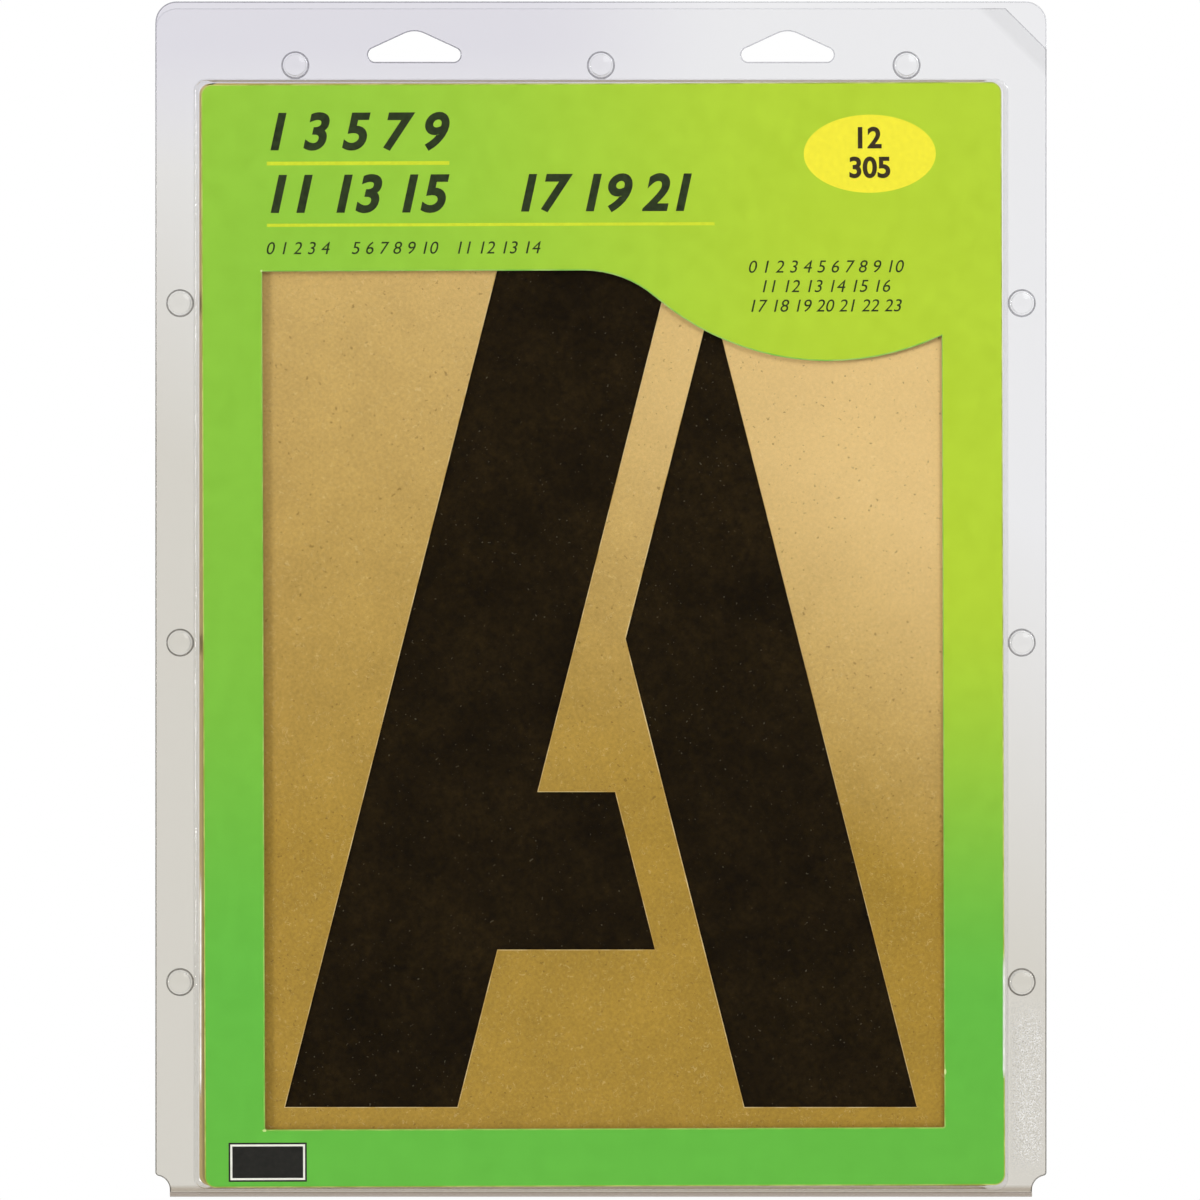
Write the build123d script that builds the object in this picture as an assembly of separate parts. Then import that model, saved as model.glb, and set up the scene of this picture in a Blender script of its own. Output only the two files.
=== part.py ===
"""A clear hinged clamshell pack of paperboard letter and number stencils behind a printed card.

The pack stands upright as it hangs on a display: X is its width, Z its height, and it faces -Y.
Outlines are drawn as seen from the front, with heights counted from the fold along the bottom edge.
The finished pieces are then lowered so that the peg's bearing point in the hang holes is the origin.
"""
from build123d import *
import math
import os

os.makedirs("parts", exist_ok=True)

# Letters and numbers cut into the sheets (millimetres)
letter_height = 304.8
stem = 55.6
bar = 50.8
bridge = 16.0
thin_stem = 42.0
bowl_radius = 78.0
counter_radius = 24.0
hook_gap = 27.0
a_top_width = 49.2
a_bar_height = 50.8
tail_height = 96.0
flag_drop = 42.0

# Board sheets: the margins round each kind of letter, and how the sheets lie in the stack
sheet_width = 254.0
letter_margin = 25.4
letter_side = 32.0
wide_side = 15.0
number_side = 39.0
a_side = 25.1
board = 0.4
backing = 0.25
sheet_gap = 0.05
stack_shift = -1.5
stack_scatter = 1.1
scatter_turn = 2.4

# Printed card with a wave-topped window, which leans in the pack and is pushed to the right
card_side = 2.0
card_thickness = 0.5
card_lean = 0.2
card_push = 0.7
die_corner = 3.5
window_side = 19.5
window_foot = 18.7
window_head = 60.3
window_corner = 0.6
wave_inset = 36.4
wave_crest = 35.5
wave_trough = 85.4
wave_drop = 29.5

# Clamshell of clear sheet: the play that it leaves round the card and the sheets
wall = 0.4
seam_gap = 0.2
floor_foot = 3.05
foot_play = 0.45
sheet_lift = 0.1
head_play = 0.6
side_play = 1.5
front_play = 0.3
sheet_play = 1.3
rear_play = 0.4
pan_corner = 4.0
cover_rise = 3.4
cover_draft = 8.0
cover_edge = 1.0
tray_draft = 2.0
tray_edge = 1.2

# Rims of both halves
side_rim = 12.3
top_rim = 24.9
shell_corner = 6.8
cover_setback = 2.2
peel_cut = 13.2
notch_width = 4.7
notch_foot = 2.2
notch_lip = 1.2
fold_radius = 0.8
fold_clearance = 0.25

# Snap buttons: hollow domes of the cover over studs of the tray
button_radius = 4.2
button_rise = 2.6
button_draft = 8.0
button_edge = 0.45
button_gap = 0.1
stud_clearance = 0.25
side_button_foot = 69.3
side_button_pitch = 109.5
top_button_pitch = 98.6
buttons_in_row = 3

# Hang holes: rounded triangles with a level base
hole_spacing = 120.4
hole_lift = 5.4
hole_slope = 24.8
hole_apex = 10.67
hole_corner = 2.3
hole_crown = 7.6

# Letter frame: x from the letter's middle, heights from its foot
middle = letter_height / 2
half = sheet_width / 2 - letter_side
wide_half = sheet_width / 2 - wide_side
number_half = sheet_width / 2 - number_side
a_half = sheet_width / 2 - a_side
arm_start = stem + bridge - half
bar_low = middle - bar / 2
bar_high = middle + bar / 2
hook_low = bar_low - hook_gap
hook_high = bar_high + hook_gap


def panel(left, right, low, high):
    """A rectangle between two upright and two level edges."""
    return Pos((left + right) / 2, (low + high) / 2) * Rectangle(right - left, high - low)


def rounded(left, right, low, high, radius):
    """A rectangle between four edges with round corners, which stay within its shorter side."""
    width = right - left
    height = high - low
    limit = 0.49 * min(width, height)
    return Pos((left + right) / 2, (low + high) / 2) * RectangleRounded(width, height, min(radius, limit))


def polygon(*corners):
    """A face within straight edges."""
    return make_face(Polyline(*corners, close=True))


def slant(foot, head, low, high, width):
    """A leaning stroke of constant level width, from its left edges at foot and head."""
    return polygon((foot, low), (foot + width, low), (head + width, high), (head, high))


def flipped(stroke):
    """The stroke mirrored left to right."""
    return mirror(stroke, about=Plane.YZ)


def ring(low, high, side=half):
    """A round-cornered closed stroke about its counter."""
    outer = rounded(-side, side, low, high, bowl_radius)
    return outer - rounded(stem - side, side - stem, low + bar, high - bar, counter_radius)


def tall_ring(side=half):
    """A ring of the letter's whole height."""
    return ring(0, letter_height, side)


def lower_ring(side=half):
    """The ring from the foot to the top of the middle bar."""
    return ring(0, bar_high, side)


def upper_ring(side=half):
    """The ring from the foot of the middle bar to the head."""
    return ring(bar_low, letter_height, side)


def bridge_at(low, high):
    """An upright bridge in the middle of the letter."""
    return panel(-bridge / 2, bridge / 2, low, high)


def end_bridges():
    """Upright bridges across the foot and the head."""
    return [bridge_at(0, bar), bridge_at(letter_height - bar, letter_height)]


def left_stem(side=half):
    """The upright stroke at the left of many letters."""
    return panel(-side, stem - side, 0, letter_height)


def head_bar(side=half):
    """A level stroke along the head."""
    return panel(-side, side, letter_height - bar, letter_height)


def arm(low, right=half):
    """A level stroke that starts a bridge away from the left stem."""
    return panel(arm_start, right, low, low + bar)


def lobe(low, high):
    """A round stroke that starts a bridge away from the left stem."""
    beyond = arm_start - 2 * bowl_radius
    outer = rounded(beyond, half, low, high, bowl_radius)
    counter = rounded(beyond, half - stem, low + bar, high - bar, counter_radius)
    return (outer - counter) & panel(arm_start, half, low, high)


def left_gaps(side):
    """Gaps that open two stacked rings at the left: above, below and at the middle bar."""
    inner = stem + counter_radius - side
    above = panel(-side, inner, bar_high, hook_high)
    below = panel(-side, inner, hook_low, bar_low)
    return above, below, panel(-side, stem - side, bar_low, bar_high)


def cup():
    """Two stems that run into a round foot, bridged there."""
    tall = ring(0, letter_height + bar + bowl_radius)
    return (tall & panel(-half, half, 0, letter_height)) - bridge_at(0, bar)


def vee(side, stroke):
    """Two slanted strokes that meet at the foot, with a bridge along the left one."""
    left = slant(-stroke / 2, -side, 0, letter_height, stroke)
    guard = slant(-stroke / 2, -side, 0, letter_height, stroke + bridge)
    return left + (flipped(left) - guard)


def letter_a():
    """Two legs and a crossbar: bridges part the right leg from the left leg and from the crossbar."""
    top = a_top_width / 2
    outline = polygon((-a_half, 0), (a_half, 0), (top, letter_height), (-top, letter_height))
    left = slant(-a_half, -top, 0, letter_height, stem)
    left_guard = slant(-a_half, -top, 0, letter_height, stem + bridge)
    right = slant(a_half - stem, top - stem, 0, letter_height, stem)
    right_guard = slant(a_half - stem - bridge, top - stem - bridge, 0, letter_height, stem + bridge)
    crossbar = (panel(-a_half, a_half, a_bar_height, a_bar_height + bar) & outline) - right_guard
    return left + crossbar + (right - left_guard)


def letter_b():
    return left_stem() + lobe(0, bar_high) + lobe(bar_low, letter_height)


def letter_c():
    gap = panel(half - stem, half, hook_low, hook_high)
    return tall_ring() - gap - end_bridges()


def letter_d():
    return left_stem() + lobe(0, letter_height)


def letter_e():
    return letter_f() + arm(0)


def letter_f():
    return left_stem() + arm(bar_low, half - bridge) + arm(letter_height - bar)


def letter_g():
    gap = panel(half - stem, half, middle, hook_high)
    spur = panel(bridge, half, middle - bar, middle)
    return (tall_ring() - gap - end_bridges()) + spur


def letter_h():
    crossbar = panel(stem - half, half - stem - bridge, bar_low, bar_high)
    return left_stem() + crossbar + flipped(left_stem())


def letter_i():
    return panel(-stem / 2, stem / 2, 0, letter_height)


def letter_j():
    return cup() - panel(-half, stem - half, hook_low, letter_height)


def letter_k():
    upper = slant(arm_start, half - stem, middle, letter_height, stem)
    lower = slant(half - stem, arm_start, 0, middle, stem)
    return left_stem() + upper + lower


def letter_l():
    return left_stem() + arm(0)


def letter_m():
    inner = slant(-thin_stem / 2, stem + bridge - wide_half, hook_low, letter_height, thin_stem)
    return left_stem(wide_half) + inner + flipped(inner) + flipped(left_stem(wide_half))


def letter_n():
    reach = wide_half - stem - bridge
    rise = slant(reach - thin_stem, -reach, 0, letter_height, thin_stem)
    return left_stem(wide_half) + rise + flipped(left_stem(wide_half))


def letter_o():
    return tall_ring() - end_bridges()


def letter_p():
    return left_stem() + lobe(bar_low, letter_height)


def letter_q():
    tail = slant(half - stem, bridge, 0, tail_height, stem)
    guard = slant(half - stem - bridge, 0, 0, tail_height, sheet_width)
    return (tall_ring() - bridge_at(letter_height - bar, letter_height) - guard) + tail


def letter_r():
    leg = slant(half - stem, half - stem - bridge, 0, bar_low - bridge, stem)
    return letter_p() + leg


def letter_s():
    above, below, bar_end = left_gaps(half)
    lower = lower_ring() - below - bar_end
    upper = upper_ring() - flipped(above) - flipped(bar_end)
    return (upper + lower) - end_bridges()


def letter_t():
    return head_bar() + panel(-stem / 2, stem / 2, 0, letter_height - bar - bridge)


def letter_u():
    return cup()


def letter_v():
    return vee(a_half, stem)


def letter_w():
    side = wide_half / 2 - bridge / 4
    shift = side + bridge / 2
    return Pos(-shift, 0) * vee(side, thin_stem) + Pos(shift, 0) * vee(side, thin_stem)


def letter_x():
    rising = slant(-a_half, a_half - stem, 0, letter_height, stem)
    guard = slant(-a_half - bridge, a_half - stem - bridge, 0, letter_height, stem + 2 * bridge)
    return rising + (flipped(rising) - guard)


def letter_y():
    left = slant(-stem / 2, -a_half, middle, letter_height, stem)
    guard = slant(-stem / 2, -a_half, middle, letter_height, stem + bridge)
    return panel(-stem / 2, stem / 2, 0, middle - bridge) + left + (flipped(left) - guard)


def letter_z():
    low = bar + bridge
    rise = slant(-half, half - stem, low, letter_height - low, stem)
    return panel(-half, half, 0, bar) + rise + head_bar()


def number_0():
    return tall_ring(number_half) - end_bridges()


def number_1():
    inner = -stem / 2
    drop = letter_height - flag_drop
    flag = polygon((inner, letter_height), (inner, letter_height - bar), (-number_half, drop - bar),
                   (-number_half, drop))
    return letter_i() + flag


def number_2():
    top = tall_ring(number_half) & panel(-number_half, number_half, middle, letter_height)
    top -= panel(-number_half, stem - number_half, middle, hook_high)
    rise = slant(-number_half, number_half - stem, bar + bridge, middle, stem)
    foot = panel(-number_half, number_half, 0, bar)
    return (top - bridge_at(middle, letter_height)) + rise + foot


def number_3():
    both = upper_ring(number_half) + lower_ring(number_half)
    return both - left_gaps(number_half) - end_bridges()


def number_4():
    post = number_half - stem - bar / 2
    edge = post - bridge
    bar_top = a_bar_height + bar
    upright = panel(post, post + stem, 0, letter_height)
    stub = panel(post + stem, number_half, a_bar_height, bar_top)
    low_bar = panel(-number_half, edge, a_bar_height, bar_top)
    return upright + stub + low_bar + slant(-number_half, edge - stem, bar_top, letter_height, stem)


def number_5():
    side = panel(-number_half, stem - number_half, bar_low, letter_height - bar - bridge)
    below = left_gaps(number_half)[1]
    return head_bar(number_half) + side + (lower_ring(number_half) - below - bridge_at(0, bar))


def number_6():
    tall = tall_ring(number_half) - panel(number_half - stem, number_half, hook_low, hook_high)
    return (tall + lower_ring(number_half)) - bridge_at(0, letter_height)


def number_7():
    rise = slant(stem - number_half, number_half - stem, 0, letter_height - bar - bridge, stem)
    return head_bar(number_half) + rise


def number_8():
    return (upper_ring(number_half) + lower_ring(number_half)) - bridge_at(0, letter_height)


def number_9():
    return Pos(0, letter_height) * (Rot(0, 0, 180) * number_6())


letters = [letter_a, letter_b, letter_c, letter_d, letter_e, letter_f, letter_g, letter_h, letter_i,
           letter_j, letter_k, letter_l, letter_m, letter_n, letter_o, letter_p, letter_q, letter_r,
           letter_s, letter_t, letter_u, letter_v, letter_w, letter_x, letter_y, letter_z]
numbers = [number_0, number_1, number_2, number_3, number_4, number_5, number_6, number_7, number_8, number_9]

# Depths from front to back: the cover, the card, the stack, the tray's floor
cover_back = -seam_gap / 2
tray_front = seam_gap / 2
card_front = cover_back - cover_rise + wall + front_play
stack_front = card_front + card_thickness + sheet_play
stack_depth = (len(letters) + len(numbers)) * (board + sheet_gap) + backing
tray_rise = stack_front + stack_depth + rear_play + wall - tray_front

# Widths and heights from the inside out: sheets, card, tray floor, tray mouth, rims
sheet_height = letter_height + 2 * letter_margin
card_width = sheet_width + 2 * card_side
card_height = sheet_height
card_foot = floor_foot + foot_play
sheet_foot = card_foot + sheet_lift
mouth_grow = (tray_rise - wall) * math.tan(math.radians(tray_draft)) + wall
pan_width = card_width + 2 * (side_play + mouth_grow)
pan_low = floor_foot - mouth_grow
pan_high = sheet_foot + sheet_height + head_play + mouth_grow
shell_width = pan_width + 2 * side_rim
shell_height = pan_high + top_rim
fold_width = shell_width - 2 * notch_width
hole_foot = pan_high + hole_lift


def slab(outline, back, thickness):
    """Extrudes a front-view outline towards the front from its back face."""
    return extrude(Plane.XZ.offset(-back) * outline, amount=thickness)


def sheet_outline(shift):
    """One sheet, pushed sideways in the stack by shift."""
    side = sheet_width / 2
    return rounded(shift - side, shift + side, sheet_foot, sheet_foot + sheet_height, die_corner)


def stencil(cut_out, shift, front):
    """A sheet of board with one letter or number cut through it."""
    outline = sheet_outline(shift) - Pos(shift, sheet_foot + letter_margin) * cut_out
    return slab(outline, front + board, board)


def card():
    """The printed card: the window's top runs level, then over a crest and through a trough."""
    right = card_width / 2 - window_side
    top = card_height - window_head
    reach = wave_crest + wave_trough
    run = math.sqrt(reach**2 - (reach - wave_drop) ** 2)
    start = right - wave_inset - run
    share = wave_crest / reach
    turn = (start + share * run, top - share * wave_drop)
    end_rise = wave_trough - math.sqrt(wave_trough**2 - wave_inset**2)
    end = (right, top - wave_drop + end_rise)
    crest = TangentArc((start, top), turn, tangent=(1, 0))
    trough = TangentArc(turn, end, tangent=crest % 1)
    sides = Polyline(end, (right, window_foot), (-right, window_foot), (-right, top), (start, top))
    window = make_face([crest, trough, sides])
    window = fillet(window.vertices().group_by(Axis.Y)[0], window_corner)
    outline = rounded(-card_width / 2, card_width / 2, 0, card_height, die_corner) - window
    flat = slab(Pos(0, -card_height / 2) * outline, 0, card_thickness)
    leaning = Rot(0, -card_lean, 0) * flat
    return Pos(card_push, card_front + card_thickness, card_foot + card_height / 2) * leaning


def hang_hole():
    """A triangle on a level base, with its base corners and its crown rounded."""
    reach = hole_apex / math.tan(math.radians(hole_slope))
    hole = polygon((-reach, 0), (reach, 0), (0, hole_apex))
    hole = fillet(hole.vertices().group_by(Axis.Y)[0], hole_corner)
    return fillet(hole.vertices().group_by(Axis.Y)[-1], hole_crown)


def rim_outline(top, peel):
    """The flat rim of one half: round upper corners, a hollow notch at each lower one, and hang holes."""
    side = shell_width / 2
    outline = panel(-side, side, fold_radius, top)
    for end in (-1, 1):
        outline -= Pos(end * side, notch_foot) * Circle(notch_width)
        outline -= Pos(end * side, notch_foot / 2) * Rectangle(2 * notch_width, notch_foot)
    upper = outline.vertices().group_by(Axis.Y)[-1].sort_by(Axis.X)
    if peel:
        outline = chamfer(upper[-1], peel)
        upper = outline.vertices().group_by(Axis.Y)[-1].sort_by(Axis.X)[:1]
    outline = fillet(upper, shell_corner)
    lip = notch_foot + notch_width
    outline = fillet(outline.vertices().filter_by_position(Axis.Y, lip - wall, lip + wall), notch_lip)
    for end in (-1, 1):
        outline -= Pos(end * hole_spacing / 2, hole_foot) * hang_hole()
    return outline


def pan(inset, rise, draft, edge):
    """A tapered boss as wide as the tray's mouth, forwards from y = 0, with a round front edge."""
    side = pan_width / 2 - inset
    base = rounded(-side, side, pan_low + inset, pan_high - inset, pan_corner - inset)
    boss = extrude(Plane.XZ * base, amount=rise, taper=draft)
    return fillet(boss.faces().sort_by(Axis.Y)[0].edges(), edge)


def plug(radius, rise):
    """A tapered round plug, forwards from y = 0."""
    return extrude(Plane.XZ * Circle(radius), amount=rise, taper=button_draft)


def dome():
    """The outside of one button, with a round front edge."""
    return fillet(plug(button_radius, button_rise).faces().sort_by(Axis.Y)[0].edges(), button_edge)


def at_buttons(shape):
    """Copies of one shape at every button's place: a row along the top and one down each side."""
    outside = button_radius + button_gap
    row = range(buttons_in_row)
    places = [((k - (buttons_in_row - 1) / 2) * top_button_pitch, pan_high + outside) for k in row]
    for side in (-1, 1):
        places += [(side * (pan_width / 2 + outside), side_button_foot + k * side_button_pitch) for k in row]
    return [Pos(x, 0, z) * shape for x, z in places]


def fold(radius, length):
    """A round bar along the fold line."""
    return Pos(0, 0, fold_radius) * (Rot(0, 90, 0) * Cylinder(radius, length))


def front_cover():
    """The front half: rim, raised panel and button domes, hollow from behind."""
    rim = slab(rim_outline(shell_height - cover_setback, peel_cut), 0, wall)
    shape = rim + pan(0, cover_rise, cover_draft, cover_edge) + at_buttons(dome())
    shape -= pan(wall, cover_rise - wall, cover_draft, cover_edge - wall)
    shape -= at_buttons(plug(button_radius - wall, button_rise - wall))
    return Pos(0, cover_back, 0) * shape - fold(fold_radius + fold_clearance, shell_width)


def back_tray():
    """The rear half: rim, deep pan to the rear, and hollow studs that stand in the cover's domes."""
    outer = mirror(pan(0, tray_rise, tray_draft, tray_edge), about=Plane.XZ)
    inner = mirror(pan(wall, tray_rise - wall, tray_draft, tray_edge - wall), about=Plane.XZ)
    stud_radius = button_radius - wall - stud_clearance
    stud_rise = button_rise - wall - stud_clearance + seam_gap
    rim = slab(rim_outline(shell_height, 0), wall, wall)
    shape = rim + outer + at_buttons(plug(stud_radius, stud_rise)) - inner
    shape -= at_buttons(Pos(0, wall, 0) * plug(stud_radius - wall, stud_rise))
    return Pos(0, tray_front, 0) * shape - fold(fold_radius, shell_width)


pieces = {
    "front_cover": front_cover(),
    "back_tray": back_tray(),
    "living_hinge": fold(fold_radius, fold_width),
    "insert_card": card(),
}

# The letter on show lies straight; behind the backing sheet the rest of the set is pushed a little aside
pieces["stencil_a"] = stencil(letter_a(), 0, stack_front)
backing_front = stack_front + board + sheet_gap
pieces["backing_sheet"] = slab(sheet_outline(stack_shift), backing_front + backing, backing)
for place, glyph in enumerate(letters[1:] + numbers):
    front = backing_front + backing + sheet_gap + place * (board + sheet_gap)
    shift = stack_shift + stack_scatter * math.sin(scatter_turn * place)
    pieces["stencil_" + glyph.__name__[-1]] = stencil(glyph(), shift, front)

# The peg bears on the crown of each hang hole
crown_cut = hole_crown * (1 / math.cos(math.radians(hole_slope)) - 1)
peg_height = hole_foot + hole_apex - crown_cut
for name, piece in pieces.items():
    export_step(Pos(0, 0, -peg_height) * piece, f"parts/{name}.step")
print(f"shell {shell_width:.2f} x {shell_height:.2f}, tray depth {tray_rise:.3f}")
print(f"peg height {peg_height:.3f}, {len(pieces)} pieces")
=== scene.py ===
# %% [markdown]
# # A stencil pack in a clear clamshell
#
# The object is a hanging shop pack: a clear plastic clamshell with a printed card inside, a paperboard
# stencil of the letter A behind the card's window, a black sheet behind the letter and the rest of the set
# behind that. The construction model already has every sheet and both formed shells in their true places,
# so this lesson is mostly about finishes: clear film, coated print, brown board and black paper.

# %% Load the construction model
import bpy
import math
import numpy as np
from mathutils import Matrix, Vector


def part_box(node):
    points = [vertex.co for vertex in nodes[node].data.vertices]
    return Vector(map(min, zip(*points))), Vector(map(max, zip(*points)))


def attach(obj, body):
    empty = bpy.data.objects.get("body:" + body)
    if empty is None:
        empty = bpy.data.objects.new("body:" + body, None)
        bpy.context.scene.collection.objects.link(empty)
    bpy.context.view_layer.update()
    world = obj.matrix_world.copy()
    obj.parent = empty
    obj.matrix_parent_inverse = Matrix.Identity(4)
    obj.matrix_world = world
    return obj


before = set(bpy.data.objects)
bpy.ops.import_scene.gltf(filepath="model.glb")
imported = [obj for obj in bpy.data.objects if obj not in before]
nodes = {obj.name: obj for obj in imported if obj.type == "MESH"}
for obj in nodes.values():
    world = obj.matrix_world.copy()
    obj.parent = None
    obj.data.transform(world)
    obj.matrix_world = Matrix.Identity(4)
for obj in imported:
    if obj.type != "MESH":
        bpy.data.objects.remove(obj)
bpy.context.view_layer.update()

mm = 0.001

# %% [markdown]
# ## Helpers for materials
#
# Colours are written as the hex values that a colour picker shows. Blender's sockets want linear light, so
# one function turns them. A second function adds any shader node with its settings and links, which keeps
# each material short enough to read as a list of steps. Some nodes have several sockets of one name, so
# theirs are given by number. Map Range takes a value at 0, the range it comes from at 1 and 2, and the range
# it goes to at 3 and 4. Mix takes a share at 0, and two numbers at 2 and 3, or two colours at 6 and 7, whose
# mix comes out at 2.

# %% Helpers for colours and nodes
def linear(code):
    """An sRGB hex colour as linear red, green, blue and an alpha of 1."""
    part = np.array([int(code[k:k + 2], 16) for k in (1, 3, 5)]) / 255
    light = np.where(part <= 0.04045, part / 12.92, ((part + 0.055) / 1.055) ** 2.4)
    return (*light.tolist(), 1.0)


def add(tree, kind, sockets=None, **settings):
    """Adds a shader node: settings go on the node, and sockets maps inputs to values or to nodes' outputs."""
    made = tree.nodes.new("ShaderNode" + kind)
    for name, value in settings.items():
        setattr(made, name, value)
    for key, value in (sockets or {}).items():
        if isinstance(value, bpy.types.NodeSocket):
            tree.links.new(value, made.inputs[key])
        else:
            made.inputs[key].default_value = value
    return made


def new_material(name):
    """An empty material and its node tree."""
    made = bpy.data.materials.new(name)
    made.use_nodes = True
    made.node_tree.nodes.clear()
    return made, made.node_tree


def dress(node, material):
    """Gives a node of the construction model its material."""
    nodes[node].data.materials.clear()
    nodes[node].data.materials.append(material)


print("lime ink in linear light:", [round(v, 3) for v in linear("#B6D42E")])

# %% [markdown]
# ## Clear PET sheet
#
# The shells are vacuum-formed from 0.4 mm clear PET. Such a thin film hardly bends light, so a Transparent
# shader stands for what goes through, and a Glossy shader for what is mirrored. Fresnel gives the share r
# that one face mirrors. Light goes back and forth between the two faces of a film, which together mirror
# 2 r / (1 + r). That is counted on faces that look outwards only, because Fresnel takes a back face for the
# inside of a thick block. The tray has the IOR of PET. The cover's is set lower, to mirror as little as it
# does in the photograph.

# %% What film mirrors
pet_ior = 1.57
cover_ior = 1.25


def mirrored_share(tree, ior, normal, outside):
    """What both faces of a film mirror together, 2 r / (1 + r), counted where outside is 1."""
    one_face = add(tree, "Fresnel", {"IOR": ior, "Normal": normal}).outputs[0]
    twice = add(tree, "Math", {0: one_face, 1: 2.0}, operation="MULTIPLY").outputs[0]
    whole = add(tree, "Math", {0: one_face, 1: 1.0}, operation="ADD").outputs[0]
    two_faces = add(tree, "Math", {0: twice, 1: whole}, operation="DIVIDE").outputs[0]
    return add(tree, "Math", {0: two_faces, 1: outside}, operation="MULTIPLY").outputs[0]


for name, ior in (("tray", pet_ior), ("cover", cover_ior)):
    straight_on = ((ior - 1) / (ior + 1)) ** 2
    print("seen straight on, the", name, "mirrors", round(2 * straight_on / (1 + straight_on), 3))

# %% [markdown]
# ### Tints of the film
#
# Where film is seen along its surface, light has further to go through it, so steep walls look greyer. The
# tray's sheet is tinted warmer and greyer to the left and towards the foot, and cooler at the upper left.
# Beside the fold both sheets are tinted darker as painted shade. The cover is the clearer of the two, and its
# upper right corner has been bent for peeling; a slightly greyer band is tinted along the cut. Each ramp runs
# from where a tint begins to where it is full.

# %% Tints of the film
toward_upper_slant = 0.6
toward_upper_ramp = (-220 * mm, -75 * mm)
cut_ramp = (128.5 * mm, 131.5 * mm)
top_ramp = (-45 * mm, -5 * mm)
left_ramp = (50 * mm, -30 * mm)
# Below this ramp's start, towards the fold, the tint darkens as painted shade.
fold_ramp = (-372.2 * mm, -373.5 * mm)
wall_power = 1.6


def film_tint(tree, place, outside, upper, lower, fold, steep, corner=None, top_left=None):
    """The film's colour by place: up to the right, at two corners, in painted shade beside the fold, and on
    steep walls.
    """
    axes = add(tree, "SeparateXYZ", {0: place})
    x, z = axes.outputs[0], axes.outputs[2]
    up_right = add(tree, "Math", {0: x, 1: toward_upper_slant, 2: z}, operation="MULTIPLY_ADD").outputs[0]
    toward_upper = add(tree, "MapRange", {0: up_right, 1: toward_upper_ramp[0], 2: toward_upper_ramp[1]}).outputs[0]
    tint = add(tree, "Mix", {0: toward_upper, 6: linear(lower), 7: linear(upper)}, data_type="RGBA").outputs[2]
    diagonal = add(tree, "Math", {0: x, 1: z}, operation="ADD").outputs[0]
    by_cut = add(tree, "MapRange", {0: diagonal, 1: cut_ramp[0], 2: cut_ramp[1]}).outputs[0]
    at_top = add(tree, "MapRange", {0: z, 1: top_ramp[0], 2: top_ramp[1]}).outputs[0]
    at_left = add(tree, "MapRange", {0: x, 1: left_ramp[0], 2: left_ramp[1]},
                  interpolation_type="SMOOTHSTEP").outputs[0]
    by_top_left = add(tree, "Math", {0: at_top, 1: at_left}, operation="MULTIPLY").outputs[0]
    by_fold = add(tree, "MapRange", {0: z, 1: fold_ramp[0], 2: fold_ramp[1]}).outputs[0]
    slope = add(tree, "LayerWeight", {"Blend": 0.5}).outputs["Facing"]
    steepness = add(tree, "Math", {0: slope, 1: wall_power}, operation="POWER").outputs[0]
    on_wall = add(tree, "Math", {0: steepness, 1: outside}, operation="MULTIPLY").outputs[0]
    zones = ((by_cut, corner or upper), (by_top_left, top_left or upper), (by_fold, fold), (on_wall, steep))
    for zone, code in zones:
        tint = add(tree, "Mix", {0: zone, 6: tint, 7: linear(code)}, data_type="RGBA").outputs[2]
    return tint


print("dull beside the fold below", round(fold_ramp[0] / mm, 1), "mm")

# %% [markdown]
# ### The film itself
#
# Forming leaves a faint wave in the sheet, a few centimetres long, which bends what it mirrors. The cover and
# the tray are smooth and glossy. The fold between them is creased, so it is rougher, and its darker tint is
# painted shade.

# %% Clear PET
film_wave = 45 * mm


def clear_film(name, ior, roughness, **tints):
    """Thin clear film with a faint wave: what it mirrors over what it lets through, tinted by place."""
    material, tree = new_material(name)
    place = add(tree, "TexCoord").outputs["Object"]
    wave = add(tree, "TexNoise", {"Vector": place, "Scale": 1 / film_wave, "Detail": 1.0}).outputs[0]
    bent = add(tree, "Bump", {"Height": wave, "Strength": 0.4, "Distance": 0.5 * mm}).outputs["Normal"]
    inside = add(tree, "NewGeometry").outputs["Backfacing"]
    outside = add(tree, "Math", {0: 1.0, 1: inside}, operation="SUBTRACT").outputs[0]
    mirrored = mirrored_share(tree, ior, bent, outside)
    through = add(tree, "BsdfTransparent", {"Color": film_tint(tree, place, outside, **tints)}).outputs[0]
    gloss = add(tree, "BsdfGlossy", {"Roughness": roughness, "Normal": bent}).outputs[0]
    film = add(tree, "MixShader", {0: mirrored, 1: through, 2: gloss}).outputs[0]
    add(tree, "OutputMaterial", {"Surface": film})
    return material


cover_film = clear_film("clear PET sheet of the cover", cover_ior, 0.07, upper="#FFFFFF", lower="#FEFEFD",
                        fold="#ECE9E4", steep="#F3F3F4", corner="#FAFAFA")
tray_film = clear_film("clear PET sheet of the tray", pet_ior, 0.07, upper="#FBFBFC", lower="#F0EEEA",
                       fold="#ECE9E4", steep="#F3F3F4", top_left="#F4F3F7")
# The fold's darker tints are painted shade.
fold_film = clear_film("creased PET in painted shade", pet_ior, 0.15, upper="#D6D3D0", lower="#CFCBC7", fold="#CFC8C0",
                       steep="#85817E")
for name, film in (("front_cover", cover_film), ("back_tray", tray_film), ("living_hinge", fold_film)):
    dress(name, film)
    print(name, "in", film.name)

# %% [markdown]
# ## Brown paperboard
#
# The stencils are die-cut from brown kraft board. Painted sheen and painted light make the board paler
# towards the upper right, fully on the sheet on show behind the window and a quarter as much on the sheets
# behind it. One ramp up its left side and one on a slant on its right say how far, and a soft ramp across the
# sheet goes from the first to the second.

# %% Where the board is painted paler: painted sheen
sheen_slant = 0.45
left_sheen = (-260 * mm, -87 * mm)
right_sheen = (-229 * mm, -113 * mm)
sheen_across = (-85 * mm, 110 * mm)


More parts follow.
